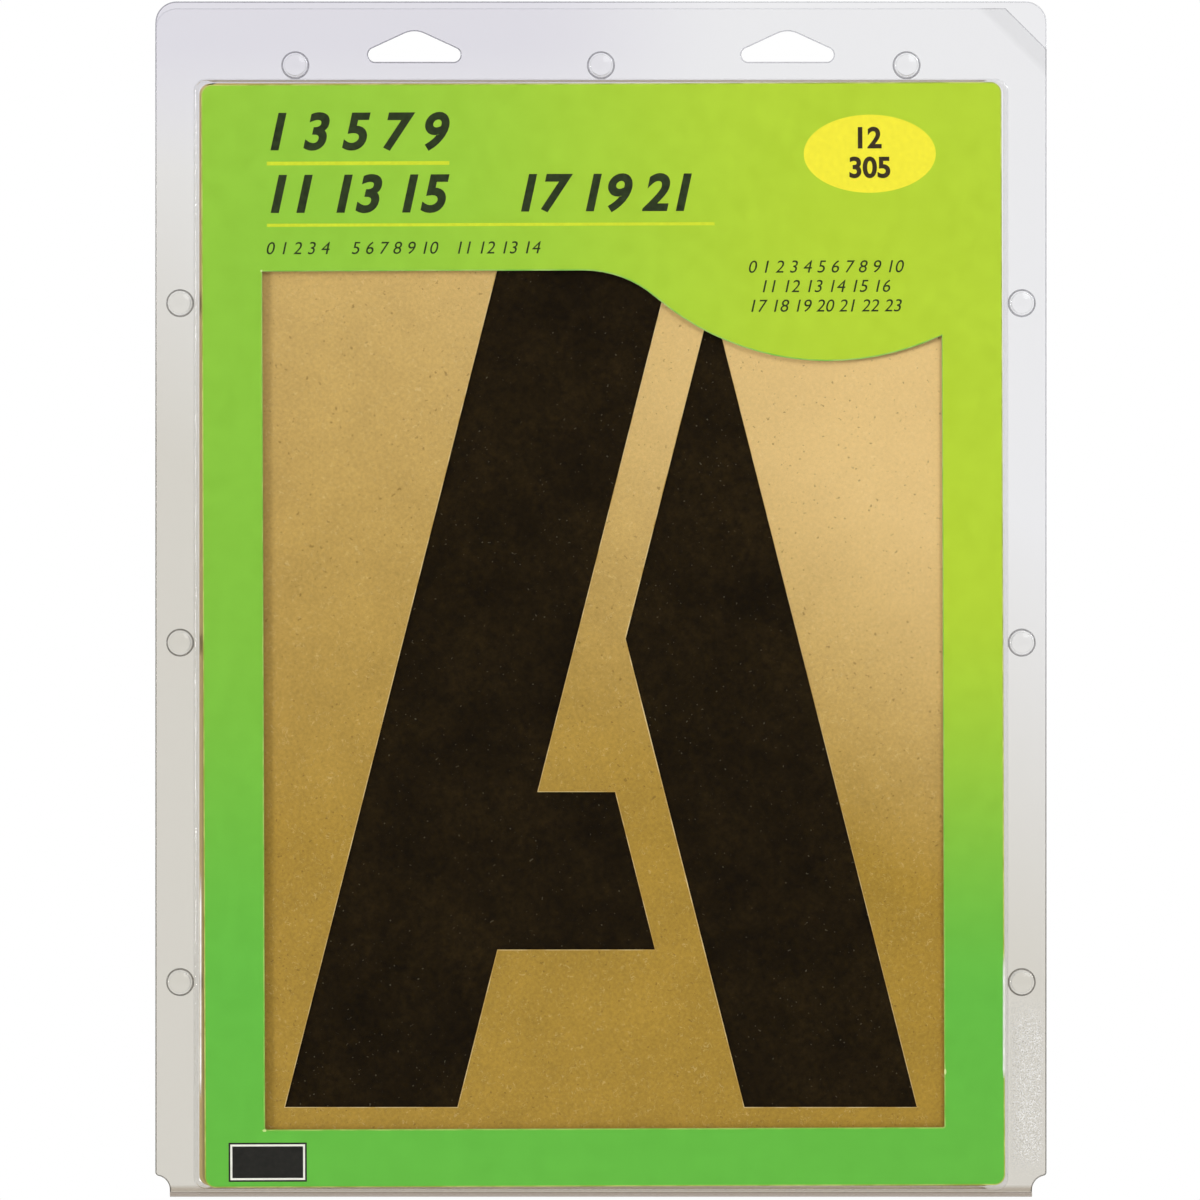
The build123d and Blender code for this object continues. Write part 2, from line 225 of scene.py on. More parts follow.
def painted_sheen_share(tree, x, z, most):
    """How far painted sheen pales the board: a ramp up its left, a slanted one on its right, and a mix
    between them.
    """
    left = add(tree, "MapRange", {0: z, 1: left_sheen[0], 2: left_sheen[1],
                                  3: 0.03 * most, 4: 0.50 * most})
    slanted = add(tree, "Math", {0: x, 1: sheen_slant, 2: z}, operation="MULTIPLY_ADD").outputs[0]
    right = add(tree, "MapRange", {0: slanted, 1: right_sheen[0], 2: right_sheen[1],
                                   3: 0.0, 4: 0.96 * most})
    across = add(tree, "MapRange", {0: x, 1: sheen_across[0], 2: sheen_across[1]},
                 interpolation_type="SMOOTHSTEP")
    return add(tree, "Mix", {0: across.outputs[0], 2: left.outputs[0], 3: right.outputs[0]}).outputs[0]


print("most bleached above", round(right_sheen[1] / mm), "mm on the slant")

# %% [markdown]
# ### Grain, fibres and specks
#
# The board's face shows fine grain, short pale pulp fibres and a few dark specks, with less grain where the
# painted sheen is. Noise gives the grain. A fibre is a thin curved line, and noise gives those too: along the
# line where its value passes one half, a narrow band is picked out, and a second noise breaks it into short
# pieces. Real grain is a few tenths of a millimetre wide, and it is drawn at 1 mm so that it shows.

# %% Face of the board
grain_size = 1.0 * mm
cloud_size = 16 * mm
fibre_curl = 2.6 * mm
fibre_length = 2.0 * mm
speck_size = 1.3 * mm


def board_face(tree, place, pale):
    """The face's colour and its grain: a mix by pale, the share of painted sheen, times grain and clouds,
    then fibres, then specks.
    """
    # The paler colour is painted sheen and painted light, mixed in by pale.
    face = add(tree, "Mix", {0: pale, 6: linear("#A88631"), 7: linear("#E4C384")},
               data_type="RGBA").outputs[2]
    grain = add(tree, "TexNoise", {"Vector": place, "Scale": 1 / grain_size, "Detail": 3.0}).outputs[0]
    cloud = add(tree, "TexNoise", {"Vector": place, "Scale": 1 / cloud_size, "Detail": 2.0}).outputs[0]
    both = add(tree, "Math", {0: cloud, 1: 0.5, 2: grain}, operation="MULTIPLY_ADD").outputs[0]
    shade = add(tree, "MapRange", {0: both, 1: 0.45, 2: 1.05, 3: 0.82, 4: 1.18}).outputs[0]
    # Grain fades where the painted sheen is.
    grainy = add(tree, "MapRange", {0: pale, 1: 0.0, 2: 0.9, 3: 1.0, 4: 0.35}).outputs[0]
    toned = add(tree, "Mix", {0: grainy, 6: face, 7: shade}, data_type="RGBA",
                blend_type="MULTIPLY").outputs[2]
    curl = add(tree, "TexNoise", {"Vector": place, "Scale": 1 / fibre_curl, "Detail": 1.0,
                                  "Distortion": 1.5}).outputs[0]
    on_line = add(tree, "Math", {0: curl, 1: 0.5, 2: 0.016}, operation="COMPARE").outputs[0]
    broken = add(tree, "TexNoise", {"Vector": place, "Scale": 1 / fibre_length, "Detail": 0.0}).outputs[0]
    piece = add(tree, "MapRange", {0: broken, 1: 0.52, 2: 0.62, 3: 0.0, 4: 0.20}).outputs[0]
    fibre = add(tree, "Math", {0: on_line, 1: piece}, operation="MULTIPLY").outputs[0]
    fibrous = add(tree, "Mix", {0: fibre, 6: toned, 7: linear("#F0D9A0")}, data_type="RGBA").outputs[2]
    speck = add(tree, "TexNoise", {"Vector": place, "Scale": 1 / speck_size, "Detail": 1.0}).outputs[0]
    dark = add(tree, "MapRange", {0: speck, 1: 0.70, 2: 0.76, 3: 0.0, 4: 0.5}).outputs[0]
    specked = add(tree, "Mix", {0: dark, 6: fibrous, 7: linear("#6F5320")}, data_type="RGBA").outputs[2]
    return specked, grain


print("grain drawn", round(grain_size / mm, 1), "mm wide")

# %% [markdown]
# ### Edges and margins
#
# The cut edge has no pressed surface, so it is paler than the face, and in a pile each sheet has its own
# tone. A noise that is drawn out along the sheets gives those tones, in layers of 0.9 mm, because the real
# ones of 0.4 mm wouldn't show. The normal tells face from edge: on a face it points along Y. The left margins
# stand out past the card, and the tray has rubbed them pale. Noise is woven on a square lattice that shows if
# a sheet lies along it, so for the face it is turned out of the sheet's plane.

# %% Kraft board
off_lattice = (0.5, 0.6, 0.3)
drawn_out = (0.005, 1.0, 0.005)
layer_size = 0.9 * mm
sheet_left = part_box("backing_sheet")[0].x
rubbed_ramp = (sheet_left + 2.6 * mm, sheet_left + 1.6 * mm)


def kraft_board(name, painted_sheen):
    """Brown board: a grained face paled by painted sheen in the share painted_sheen, a rubbed left margin and
    edges in layers.
    """
    material, tree = new_material(name)
    coordinates = add(tree, "TexCoord")
    flat = coordinates.outputs["Object"]
    axes = add(tree, "SeparateXYZ", {0: flat})
    x, z = axes.outputs[0], axes.outputs[2]
    place = add(tree, "Mapping", {"Vector": flat, "Rotation": off_lattice}).outputs[0]
    face, grain = board_face(tree, place, painted_sheen_share(tree, x, z, painted_sheen))
    rubbed = add(tree, "MapRange", {0: x, 1: rubbed_ramp[0], 2: rubbed_ramp[1], 3: 0.0, 4: 0.7}).outputs[0]
    margin = add(tree, "Mix", {0: rubbed, 6: face, 7: linear("#CBBB92")}, data_type="RGBA").outputs[2]
    along = add(tree, "Mapping", {"Vector": flat, "Scale": drawn_out}).outputs[0]
    layers = add(tree, "TexNoise", {"Vector": along, "Scale": 1 / layer_size, "Detail": 2.0}).outputs[0]
    ply = add(tree, "MapRange", {0: layers, 1: 0.35, 2: 0.65}).outputs[0]
    edge = add(tree, "Mix", {0: ply, 6: linear("#B29761"), 7: linear("#E0CB98")}, data_type="RGBA").outputs[2]
    normal_y = add(tree, "SeparateXYZ", {0: coordinates.outputs["Normal"]}).outputs[1]
    facing = add(tree, "Math", {0: normal_y}, operation="ABSOLUTE").outputs[0]
    is_face = add(tree, "Math", {0: facing, 1: 0.5}, operation="GREATER_THAN").outputs[0]
    colour = add(tree, "Mix", {0: is_face, 6: edge, 7: margin}, data_type="RGBA").outputs[2]
    bump = add(tree, "Bump", {"Height": grain, "Strength": 0.12, "Distance": 0.06 * mm}).outputs[0]
    shader = add(tree, "BsdfPrincipled", {"Base Color": colour, "Roughness": 0.75,
                                          "Specular IOR Level": 0.25, "Normal": bump}).outputs[0]
    add(tree, "OutputMaterial", {"Surface": shader})
    return material


# The sheet on show takes the full painted sheen, the sheets in the stack a quarter of it.
shown_board = kraft_board("brown kraft paperboard, bleached", 1.0)
stacked_board = kraft_board("brown kraft paperboard", 0.25)
sheets = sorted(name for name in nodes if name.startswith("stencil_"))
for name in sheets:
    dress(name, shown_board if name == "stencil_a" else stacked_board)
print("board on", len(sheets), "sheets")

# %% [markdown]
# ## Black paper
#
# The sheet behind the letter is uncoated black paper with a brown cast. Close up it has lint and paler
# fibres: a mottled pulp, a faint cloudiness and a few tiny pale specks on a very dark ground. Pulp and lint
# are finer on real paper, and are drawn 2.2 and 0.8 mm wide so that they show. The left margin stands out
# past the card and rubs on the tray, so there the black has worn to brown.

# %% Black paper
cast_size = 22 * mm
pulp_size = 2.2 * mm
lint_size = 0.8 * mm
worn_ramp = (sheet_left + 1.6 * mm, sheet_left + 1.2 * mm)


def black_paper():
    """Very dark brown-black paper with clouds, mottled pulp, fine pale specks and a worn left margin."""
    material, tree = new_material("black uncoated paper")
    flat = add(tree, "TexCoord").outputs["Object"]
    place = add(tree, "Mapping", {"Vector": flat, "Rotation": off_lattice}).outputs[0]
    cast = add(tree, "TexNoise", {"Vector": place, "Scale": 1 / cast_size, "Detail": 5.0,
                                  "Roughness": 0.7}).outputs[0]
    cloudy = add(tree, "MapRange", {0: cast, 1: 0.33, 2: 0.67}).outputs[0]
    ground = add(tree, "Mix", {0: cloudy, 6: linear("#130B00"), 7: linear("#231906")},
                 data_type="RGBA").outputs[2]
    pulp = add(tree, "TexNoise", {"Vector": place, "Scale": 1 / pulp_size, "Detail": 4.0,
                                  "Roughness": 0.75}).outputs[0]
    tone = add(tree, "MapRange", {0: pulp, 1: 0.3, 2: 0.7, 3: 0.45, 4: 1.55}).outputs[0]
    toned = add(tree, "Mix", {0: 1.0, 6: ground, 7: tone}, data_type="RGBA", blend_type="MULTIPLY").outputs[2]
    lint = add(tree, "TexNoise", {"Vector": place, "Scale": 1 / lint_size, "Detail": 0.0}).outputs[0]
    speck = add(tree, "MapRange", {0: lint, 1: 0.80, 2: 0.86, 3: 0.0, 4: 0.25}).outputs[0]
    linty = add(tree, "Mix", {0: speck, 6: toned, 7: linear("#8A8270")}, data_type="RGBA").outputs[2]
    x = add(tree, "SeparateXYZ", {0: flat}).outputs[0]
    worn = add(tree, "MapRange", {0: x, 1: worn_ramp[0], 2: worn_ramp[1]}).outputs[0]
    colour = add(tree, "Mix", {0: worn, 6: linty, 7: linear("#A8976A")}, data_type="RGBA").outputs[2]
    shader = add(tree, "BsdfPrincipled", {"Base Color": colour, "Roughness": 0.9,
                                          "Specular IOR Level": 0.08}).outputs[0]
    add(tree, "OutputMaterial", {"Surface": shader})
    return material


backing = black_paper()
dress("backing_sheet", backing)
print(backing.name)

# %% [markdown]
# ## Printed card
#
# The card is coated board, printed in one flood of ink that runs from lime at the upper right to leaf green
# at the foot. Two soft ramps, one up and one across, mix the two inks. Board takes up ink unequally, so a
# print is a little patchy in tone and in gloss. Real patches are a few tenths of a millimetre wide, and are
# drawn 5 mm wide in the flood and 1.6 mm in the smaller prints, so that they show. The back of the card is
# plain grey board, and its cut edges are cream.

# %% Printed card
flood_up = (-316 * mm, -171 * mm)
left_up = (-183 * mm, -22 * mm)
flood_across = (-105 * mm, 95 * mm)
flood_patch = 5 * mm


def uneven_print(tree, place, size, detail, uneven):
    """The tone of a print, 1 give or take uneven, and its roughness, which follow one patchy noise."""
    patchy = add(tree, "TexNoise", {"Vector": place, "Scale": 1 / size, "Detail": detail}).outputs[0]
    tone = add(tree, "MapRange", {0: patchy, 1: 0.3, 2: 0.7, 3: 1 - uneven, 4: 1 + uneven}).outputs[0]
    gloss = add(tree, "MapRange", {0: patchy, 1: 0.3, 2: 0.7, 3: 0.38, 4: 0.52}).outputs[0]
    return tone, gloss


def lime_share(tree, x, z):
    """How much of the flood is lime: a ramp up the card, held back on the left, where lime sets in higher."""
    height = add(tree, "MapRange", {0: z, 1: flood_up[0], 2: flood_up[1]}, interpolation_type="SMOOTHSTEP")
    left = add(tree, "MapRange", {0: z, 1: left_up[0], 2: left_up[1], 3: 0.30, 4: 0.53})
    across = add(tree, "MapRange", {0: x, 1: flood_across[0], 2: flood_across[1]},
                 interpolation_type="SMOOTHSTEP")
    level = add(tree, "Mix", {0: across.outputs[0], 2: left.outputs[0], 3: 1.0})
    return add(tree, "Math", {0: height.outputs[0], 1: level.outputs[0]}, operation="MULTIPLY").outputs[0]


def printed_card():
    """Coated card with a lime to green flood on its front, a grey back and cream edges."""
    material, tree = new_material("coated card, printed green")
    coordinates = add(tree, "TexCoord")
    place = coordinates.outputs["Object"]
    axes = add(tree, "SeparateXYZ", {0: place})
    lime = lime_share(tree, axes.outputs[0], axes.outputs[2])
    inks = add(tree, "Mix", {0: lime, 6: linear("#66BE41"), 7: linear("#B6D42E")},
               data_type="RGBA").outputs[2]
    tone, gloss = uneven_print(tree, place, flood_patch, 5.0, 0.03)
    flood = add(tree, "Mix", {0: 1.0, 6: inks, 7: tone}, data_type="RGBA", blend_type="MULTIPLY").outputs[2]
    normal_y = add(tree, "SeparateXYZ", {0: coordinates.outputs["Normal"]}).outputs[1]
    is_back = add(tree, "Math", {0: normal_y, 1: 0.5}, operation="GREATER_THAN").outputs[0]
    is_front = add(tree, "Math", {0: normal_y, 1: -0.5}, operation="LESS_THAN").outputs[0]
    plain = add(tree, "Mix", {0: is_back, 6: linear("#E6E4C4"), 7: linear("#C4C0B4")},
                data_type="RGBA").outputs[2]
    colour = add(tree, "Mix", {0: is_front, 6: plain, 7: flood}, data_type="RGBA").outputs[2]
    shader = add(tree, "BsdfPrincipled", {"Base Color": colour, "Specular IOR Level": 0.3,
                                          "Roughness": gloss}).outputs[0]
    add(tree, "OutputMaterial", {"Surface": shader})
    return material


card_stock = printed_card()
dress("insert_card", card_stock)
print(card_stock.name)

# %% [markdown]
# ## A way to draw on the card
#
# What is printed over the flood is made as flat patches a few hundredths of a millimetre above the card,
# so their outlines stay sharp at any size. Sizes are taken from the card's upper left corner, across and
# down, as a printer would. The card leans a little in the pack, so one function turns those two lengths
# into a place on its face.

# %% Places on the card
card_low, card_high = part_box("insert_card")
card_wide = 258 * mm
card_tall = 355.6 * mm
card_lean = math.radians(0.2)
card_x = (card_low.x + card_high.x) / 2
card_z = (card_low.z + card_high.z) / 2


def on_card(across, down, lift):
    """Points on the card's face: across from its left edge, down from its top, turned by the card's lean."""
    right = across - card_wide / 2
    up = card_tall / 2 - down
    x = card_x + right * math.cos(card_lean) - up * math.sin(card_lean)
    z = card_z + right * math.sin(card_lean) + up * math.cos(card_lean)
    return np.stack([x, np.full_like(x, card_low.y - lift), z], axis=-1)


def patch_mesh(name, points):
    """Quads on a grid of points, rows by columns by xyz: each goes down, then across, to face forwards."""
    rows, columns = points.shape[:2]
    index = np.arange(rows * columns).reshape(rows, columns)
    quads = np.stack([index[:-1, :-1], index[1:, :-1], index[1:, 1:], index[:-1, 1:]], axis=-1)
    mesh = bpy.data.meshes.new(name)
    mesh.from_pydata(points.reshape(-1, 3).tolist(), [], quads.reshape(-1, 4).tolist())
    return mesh


def show(mesh, material, body="card"):
    """Puts a finished mesh into the scene, on the body that carries it: the card, unless another is named."""
    piece = bpy.data.objects.new(mesh.name, mesh)
    bpy.context.scene.collection.objects.link(piece)
    mesh.materials.append(material)
    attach(piece, body)
    return piece


print("card at", round(card_x / mm, 2), round(card_z / mm, 2), "mm")

# %% [markdown]
# ## Inks
#
# The small prints are in two yellow inks and three near-black ones, and the plate's line is where the card
# was left white. Dark ink shows its patches most, because a thin spot lets the card through.

# %% Inks
small_patch = 1.6 * mm


def printing_ink(name, code, uneven):
    """A printing ink whose tone varies by the share uneven, and its gloss with it."""
    material, tree = new_material(name)
    place = add(tree, "TexCoord").outputs["Object"]
    tone, gloss = uneven_print(tree, place, small_patch, 4.0, uneven)
    colour = add(tree, "Mix", {0: 1.0, 6: linear(code), 7: tone}, data_type="RGBA",
                 blend_type="MULTIPLY").outputs[2]
    shader = add(tree, "BsdfPrincipled", {"Base Color": colour, "Specular IOR Level": 0.3,
                                          "Roughness": gloss}).outputs[0]
    add(tree, "OutputMaterial", {"Surface": shader})
    return material


yellow_ink = printing_ink("yellow ink", "#F5EB36", 0.04)
rule_ink = printing_ink("yellow ink over green", "#D2E02C", 0.06)
brown_black_ink = printing_ink("brown-black ink", "#33270F", 0.35)
green_black_ink = printing_ink("green-black ink", "#24320F", 0.35)
black_ink = printing_ink("black ink", "#1B1A16", 0.35)
bare_white = printing_ink("unprinted white", "#F4F3EA", 0.04)
print("inks:", [material.name for material in bpy.data.materials if "ink" in material.name])

# %% [markdown]
# ## Yellow oval, rules and plate
#
# The oval is a disc stretched in two directions. A square grid bends into a disc without a pole in its
# middle if each coordinate is shortened by the other one: u times the root of one less half of v squared.
# The rules are thin bars. The plate is three rectangles, each lying on the one before and smaller than it.

# %% Yellow oval, rules and plate
def disc_grid(count):
    """A square grid u, v bent into a disc of radius 1: u * sqrt(1 - v^2 / 2) and v * sqrt(1 - u^2 / 2)."""
    v, u = np.meshgrid(np.linspace(-1, 1, count), np.linspace(-1, 1, count), indexing="ij")
    return u * np.sqrt(1 - v**2 / 2), v * np.sqrt(1 - u**2 / 2)


def oval(name, across, down, half_width, half_height, lift):
    """A disc stretched in two directions, on the card's face."""
    right, lower = disc_grid(33)
    return patch_mesh(name, on_card(across + half_width * right, down + half_height * lower, lift))


def block(name, left, top, width, height, lift):
    """A plain rectangle."""
    down, across = np.meshgrid([top, top + height], [left, left + width], indexing="ij")
    return patch_mesh(name, on_card(across, down, lift))


print_lift = 0.02 * mm
oval_across, oval_down = 215.5 * mm, 23.0 * mm
oval_half_width, oval_half_height = 21.3 * mm, 12.6 * mm
yellow_oval = oval("yellow_oval", oval_across, oval_down, oval_half_width, oval_half_height, print_lift)
show(yellow_oval, yellow_ink)

rule_left = 21.1 * mm
for name, top, length, thickness in (("short_rule", 24.9, 58.9, 1.2), ("long_rule", 44.9, 144.3, 1.0)):
    rule = block(name, rule_left, top * mm, length * mm, thickness * mm, print_lift)
    show(rule, rule_ink)

plate_left, plate_top = 7.7 * mm, 341.1 * mm
plate_width, plate_height = 25.2 * mm, 12.6 * mm
plate_layers = (("plate_rim", black_ink, 0.0), ("plate_line", bare_white, 0.55 * mm),
                ("plate", black_ink, 1.2 * mm))
for layer, (name, material, inset) in enumerate(plate_layers, 1):
    size = (plate_width - 2 * inset, plate_height - 2 * inset)
    mesh = block(name, plate_left + inset, plate_top + inset, *size, print_lift * layer)
    show(mesh, material)
print("drew the oval, rules and plate")

# %% [markdown]
# ## Plain numbers
#
# The card's heading is plain numbers in a heavy slanted face, and the oval gives the letters' height in
# inches and in millimetres. Blender's own font makes the outlines. Each row is turned into a mesh first, and
# then its points are laid on the card with the same function as the rest.

# %% Numbers on the card
def number_row(name, figures, start, foot, height, slant, weight, lift, centred=False):
    """Figures of one height, on the card: start is their left end, or their middle if they are centred."""
    curve = bpy.data.curves.new(name, "FONT")
    curve.body = figures
    curve.shear = slant
    curve.offset = weight
    curve.resolution_u = 6
    holder = bpy.data.objects.new(name, curve)
    bpy.context.scene.collection.objects.link(holder)
    mesh = bpy.data.meshes.new_from_object(holder.evaluated_get(bpy.context.evaluated_depsgraph_get()))
    bpy.data.objects.remove(holder)
    mesh.name = name
    flat = np.empty(len(mesh.vertices) * 3)
    mesh.vertices.foreach_get("co", flat)
    flat = flat.reshape(-1, 3)
    scale = height / np.ptp(flat[:, 1])
    across = start + (flat[:, 0] - flat[:, 0].min()) * scale
    across -= centred * np.ptp(across) / 2
    down = foot - (flat[:, 1] - flat[:, 1].min()) * scale
    mesh.vertices.foreach_set("co", on_card(across, down, lift).ravel())
    mesh.update()
    print(name, "is", round(np.ptp(across) / mm, 1), "mm wide")
    return mesh


heavy = 0.03
slanted = 0.22
heading_height = 12.6 * mm
oval_figures = 7.0 * mm
headings = (("first_row", "1 3 5 7 9", 22.3, 21.6), ("second_row", "11 13 15", 22.3, 41.6),
            ("third_row", "17 19 21", 103.0, 41.6))
for name, figures, left, foot in headings:
    row = number_row(name, figures, left * mm, foot * mm, heading_height, slanted, heavy, print_lift)
    show(row, green_black_ink)
for name, figures, foot in (("inch_number", "12", 21.3), ("millimetre_number", "305", 30.9)):
    row = number_row(name, figures, oval_across, foot * mm, oval_figures, 0.0, heavy, 2 * print_lift, True)
    show(row, brown_black_ink)

# %% [markdown]
# ### Small numbers
#
# Small light figures stand below the heading: one row to the left, and three about a middle line to the
# right.

# %% Small numbers
note_height = 4.0 * mm
left_foot = 54.8
right_middle = 201.4
notes = (("note_1", "0 1 2 3 4", 21.0, left_foot, False), ("note_2", "5 6 7 8 9 10", 48.4, left_foot, False),
         ("note_3", "11 12 13 14", 82.6, left_foot, False),
         ("note_4", "0 1 2 3 4 5 6 7 8 9 10", right_middle, 61.3, True),
         ("note_5", "11 12 13 14 15 16", right_middle, 67.6, True),
         ("note_6", "17 18 19 20 21 22 23", right_middle, 73.9, True))
for name, figures, start, foot, centred in notes:
    row = number_row(name, figures, start * mm, foot * mm, note_height, slanted, 0, print_lift, centred)
    show(row, green_black_ink)

# %% [markdown]
# ## Cut edges
#
# Where clear sheet is cut, light that ran along inside it comes out, and the edge shows as a thin grey line.
# Where card and board are die-cut, the knife presses the corner round, and bare pulp shows as a thin pale
# line, except along stretches that colour still covers. The construction model knows where every cut is: the
# narrow side faces of a sheet. One edge of each lies in the sheet's front face, and together those edges are
# its outlines, the outer one near the sheet's border and the openings further in. A small oval profile is
# carried along them, just inside the cut.

# %% Outlines of a sheet
def cut_lines(name, front, thickness):
    """Segments of a sheet's outlines, and the outward normals at their ends, from its narrow side faces."""
    mesh = nodes[name].data
    mesh.calc_loop_triangles()
    points = np.empty(len(mesh.vertices) * 3)
    mesh.vertices.foreach_get("co", points)
    corners = np.empty(len(mesh.loop_triangles) * 3, int)
    mesh.loop_triangles.foreach_get("vertices", corners)
    faces = points.reshape(-1, 3)[corners.reshape(-1, 3)]
    normal = np.cross(faces[:, 1] - faces[:, 0], faces[:, 2] - faces[:, 0])
    normal /= np.linalg.norm(normal, axis=1, keepdims=True) + 1e-30
    close = 0.02 * mm
    in_sheet = ((faces[:, :, 1] > front - close) & (faces[:, :, 1] < front + thickness + close)).all(axis=1)
    at_front = np.abs(faces[:, :, 1] - front) < close
    side = (np.abs(normal[:, 1]) < 0.05) & in_sheet & (at_front.sum(axis=1) == 2)
    ends = faces[side][at_front[side]].reshape(-1, 2, 3)
    outward = np.repeat(normal[side][:, None, :], 2, axis=1)
    key = np.round(ends.reshape(-1, 3) / close).astype(int)
    shared = np.unique(key, axis=0, return_inverse=True)[1].ravel()
    total = np.zeros((shared.max() + 1, 3))
    np.add.at(total, shared, outward.reshape(-1, 3))
    total /= np.linalg.norm(total, axis=1, keepdims=True) + 1e-30
    return ends, total[shared].reshape(-1, 2, 3)


sheet = 0.4 * mm
seam = 0.1 * mm
rim_face = -seam - sheet
card_sheet = card_high.y - card_low.y
board_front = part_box("stencil_a")[0].y
print("card", round(card_sheet / mm, 2), "mm thick")

# %% Beads along cut edges
border = 6 * mm


def edge_bead(name, node, front, thickness, level, depth, half_height, outlines="all", turns=8):
    """An oval profile along each cut: depth wide inwards from it, half_height thick to each side of level."""
    ends, outward = cut_lines(node, front, thickness)
    from_border = np.minimum(ends - ends.min(axis=(0, 1)), ends.max(axis=(0, 1)) - ends)
    outer = from_border[:, :, [0, 2]].min(axis=(1, 2)) < border
    keep = {"all": outer | ~outer, "outer": outer, "openings": ~outer}[outlines]
    ends, outward = ends[keep], outward[keep]
    angle = np.linspace(0, 2 * math.pi, turns, endpoint=False)
    inwards = depth / 2 * (1 - np.cos(angle))
    ring = ends[:, :, None, :] - outward[:, :, None, :] * inwards[None, None, :, None]
    ring[..., 1] = front + level + half_height * np.sin(angle)
    forward = ends[:, 1] - ends[:, 0]
    turn = np.cross(forward, outward[:, 0])[:, 1] > 0
    ring[turn] = ring[turn][:, ::-1]
    index = np.arange(ring.shape[0] * 2 * turns).reshape(-1, 2, turns)
    after = np.roll(index, -1, axis=2)
    quads = np.stack([index[:, 0], after[:, 0], after[:, 1], index[:, 1]], axis=-1).reshape(-1, 4)
    key = np.round(ring.reshape(-1, 3) / (0.002 * mm)).astype(int)
    first, same = np.unique(key, axis=0, return_index=True, return_inverse=True)[1:]
    mesh = bpy.data.meshes.new(name)
    mesh.from_pydata(ring.reshape(-1, 3)[first].tolist(), [], same.ravel()[quads].tolist())
    mesh.shade_smooth()
    print(name, "has", len(mesh.polygons), "faces")
    return mesh


# Each profile's level, depth and half height.
film_profile = (sheet / 2, 0.36 * mm, 0.15 * mm)
card_profile = (0, 0.4 * mm, 0.03 * mm)
window_profile = (0, 0.45 * mm, 0.03 * mm)
board_profile = (0, 0.38 * mm, 0.03 * mm)
cover_bead = edge_bead("cover_cut_edge", "front_cover", rim_face, sheet, *film_profile)
tray_bead = edge_bead("tray_cut_edge", "back_tray", seam, sheet, *film_profile)
card_bead = edge_bead("card_cut_edge", "insert_card", card_low.y, card_sheet, *card_profile, "outer")
window_bead = edge_bead("window_cut_edge", "insert_card", card_low.y, card_sheet, *window_profile, "openings")
board_bead = edge_bead("letter_cut_edge", "stencil_a", board_front, sheet, *board_profile, "openings")

# %% Finish of the cut edges
wear_size = 6 * mm


def worn_cut(name, bare, covered):
    """Bare pulp along a cut, with stretches that colour still covers."""
    material, tree = new_material(name)
    place = add(tree, "TexCoord").outputs["Object"]
    wear = add(tree, "TexNoise", {"Vector": place, "Scale": 1 / wear_size, "Detail": 5.0}).outputs[0]
    share = add(tree, "MapRange", {0: wear, 1: 0.38, 2: 0.62}).outputs[0]
    colour = add(tree, "Mix", {0: share, 6: linear(covered), 7: linear(bare)}, data_type="RGBA").outputs[2]
    shader = add(tree, "BsdfPrincipled", {"Base Color": colour, "Roughness": 0.8,
                                          "Specular IOR Level": 0.2}).outputs[0]
    add(tree, "OutputMaterial", {"Surface": shader})
    return material


cover_cut = clear_film("cut edge of the cover's PET", cover_ior, 0.2, upper="#FAFAFB", lower="#F8F8F8",
                       fold="#ECECEC", steep="#E4E4E6", corner="#F0F0F1")
tray_cut = clear_film("cut edge of the tray's PET", pet_ior, 0.2, upper="#F6F6F7", lower="#D8D7D5",
                      fold="#CFCBC7", steep="#C6C6CA", top_left="#DEDEE0")
bare_card = worn_cut("bare edge of coated card", "#C6CF72", "#A3B24A")
bare_window = worn_cut("bare edge of coated card, at the window", "#A6CE68", "#7FC04A")
bare_board = worn_cut("bare edge of kraft board", "#DBC38E", "#BA964E")
show(cover_bead, cover_cut, "cover")
show(tray_bead, tray_cut, "tray")
show(card_bead, bare_card)
show(window_bead, bare_window)
show(board_bead, bare_board, "stack")
print("five beads in place")

# %% [markdown]
# ## Nicks at the window
#
# A cutting die leaves small nicks, which hold the waste in the sheet until it is pushed out. Where they tore,
# bare card shows: at two corners of the window and on its right edge. Each is a small oval on the card.

# %% Nicks
nicks = (("upper_left_nick", 19.25, 60.1, 0.35, 0.4), ("lower_left_nick", 19.3, 337.2, 0.65, 0.4),
         ("right_nick", 238.8, 319.0, 0.35, 0.9))
torn_card = worn_cut("torn edge of coated card", "#DDF0A4", "#C6E48C")
for name, across, down, half_width, half_height in nicks:
    nick = oval(name, across * mm, down * mm, half_width * mm, half_height * mm, 2 * print_lift)
    show(nick, torn_card)
print("nicks:", len(nicks))

# %% [markdown]
# ## Feet of the snap buttons
#
# Formed sheet can't turn a sharp corner: where a button rises from the rim, the sheet runs up into it in a
# small hollow curve. That curve bends light away, so each button is ringed by a thin grey line. The curve is
# a quarter circle, carried round each button, with its two ends just inside the rim and the button's wall.

# %% Hollow curves round the buttons
button_radius = 4.14 * mm
foot_curve = 0.38 * mm
sunk = 0.06 * mm
side_x = 135.75 * mm
side_z = np.array([-306.75, -197.25, -87.75]) * mm
top_x = np.array([-98.6, 0, 98.6]) * mm
top_z = -11.0 * mm
button_places = [(x, top_z) for x in top_x] + [(side * side_x, z) for side in (-1, 1) for z in side_z]


